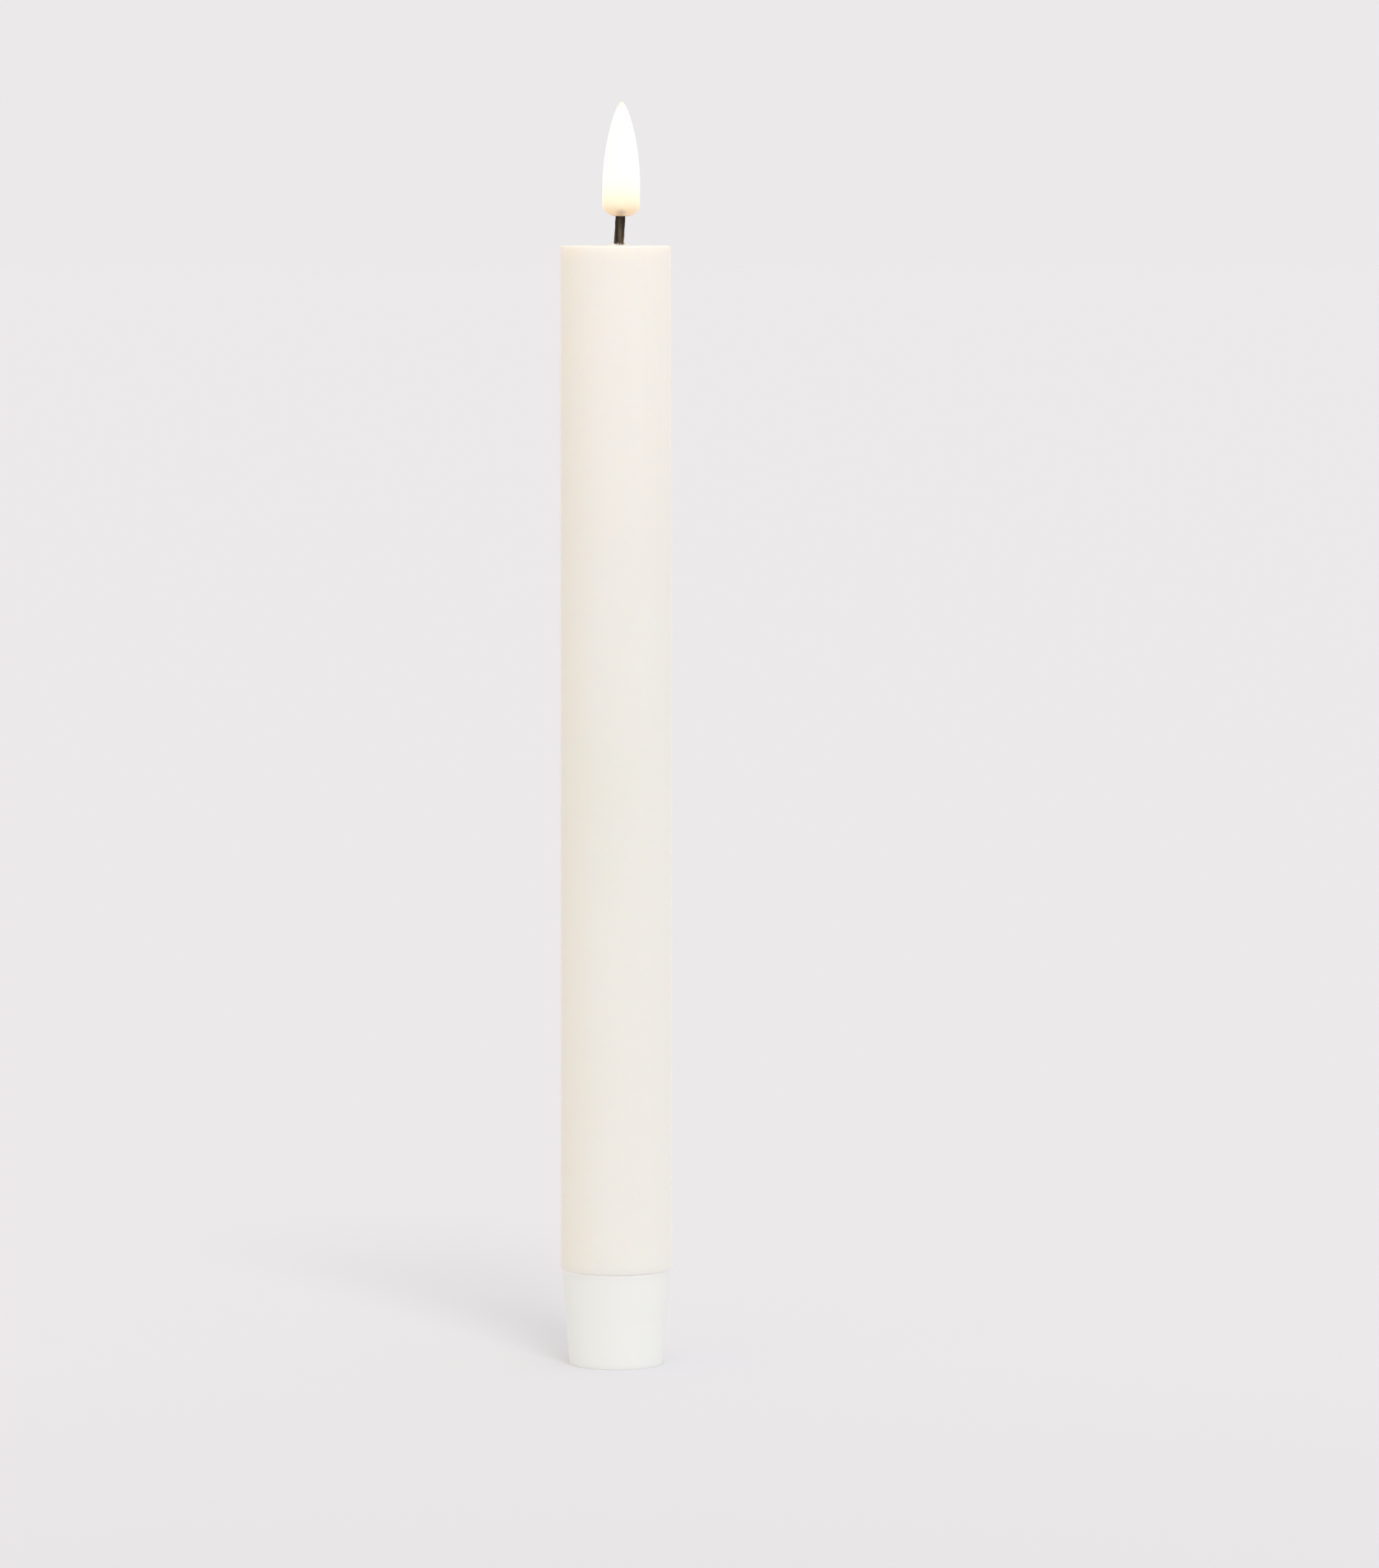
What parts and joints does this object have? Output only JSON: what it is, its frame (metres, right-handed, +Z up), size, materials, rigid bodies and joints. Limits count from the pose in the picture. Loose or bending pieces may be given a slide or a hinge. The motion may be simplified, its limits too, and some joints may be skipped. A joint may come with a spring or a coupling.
{
  "type": "flameless led candle",
  "caption": "Battery taper candle: wax-coated tube, glowing flame-shaped lens on a short wick, and a tapered screw-off base with a slide switch in its underside.",
  "frame": {"origin": "centre of the base's underside, on the surface that the candle stands on", "axes": "+Z up along the candle's axis to the flame; +X is the side that the wick leans to and the way that the switch knob slides; -Y is the front"},
  "size_m": [0.0222, 0.0222, 0.2514],
  "materials": {
    "ivory_wax": "satin",
    "natural_plastic": "satin",
    "white_plastic": "satin",
    "black_sleeve": "matte",
    "flame_resin": "satin",
    "led_epoxy": "gloss",
    "circuit_board": "satin",
    "chip_epoxy": "matte",
    "ceramic_chip": "satin",
    "tinned_steel": "satin",
    "nickel_plate": "satin",
    "brass": "satin",
    "cell_wrapper": "satin",
    "red_insulation": "satin",
    "black_insulation": "satin",
    "black_plastic": "satin"
  },
  "bodies": {
    "candle": {"wax_shell": "ivory_wax", "core_tube": "natural_plastic", "wick_holder": "natural_plastic", "wick_sleeve": "black_sleeve", "flame_lens": "flame_resin", "led": "led_epoxy", "led_wire_positive": "red_insulation", "led_wire_negative": "black_insulation", "battery_sleeve": "natural_plastic", "battery_cell_lower": "cell_wrapper", "battery_cell_upper": "cell_wrapper", "positive_contact": "nickel_plate", "negative_strip": "nickel_plate", "battery_wire": "red_insulation", "control_board": "circuit_board", "controller_chip": "chip_epoxy", "timer_crystal": "tinned_steel", "board_capacitor": "ceramic_chip", "board_resistor": "chip_epoxy"},
    "spring_and_seat": {"tail_spring": "tinned_steel", "spring_seat": "brass"},
    "base": {"base_cap": "white_plastic", "contact_carrier": "natural_plastic", "contact_ring": "brass", "switch_body": "black_plastic", "switch_board": "circuit_board", "base_screw_front": "tinned_steel", "base_screw_rear": "tinned_steel"},
    "knob": {"switch_knob": "black_plastic"}
  },
  "joints": [
    {"name": "base_travel", "type": "slide", "parent": "candle", "child": "spring_and_seat", "axis": [0, 0, -1], "range_m": [0, 0.003]},
    {"name": "base_turn", "type": "hinge", "parent": "spring_and_seat", "child": "base", "pos_m": [0, 0, 0], "axis": [0, 0, -1], "range_deg": [0, 540]},
    {"name": "switch_slide", "type": "slide", "parent": "base", "child": "knob", "axis": [1, 0, 0], "range_m": [0, 0.004]}
  ],
  "couplings": [
    {"joint": "base_travel", "follows": "base_turn", "m_per_rad": 0.00031831}
  ]
}
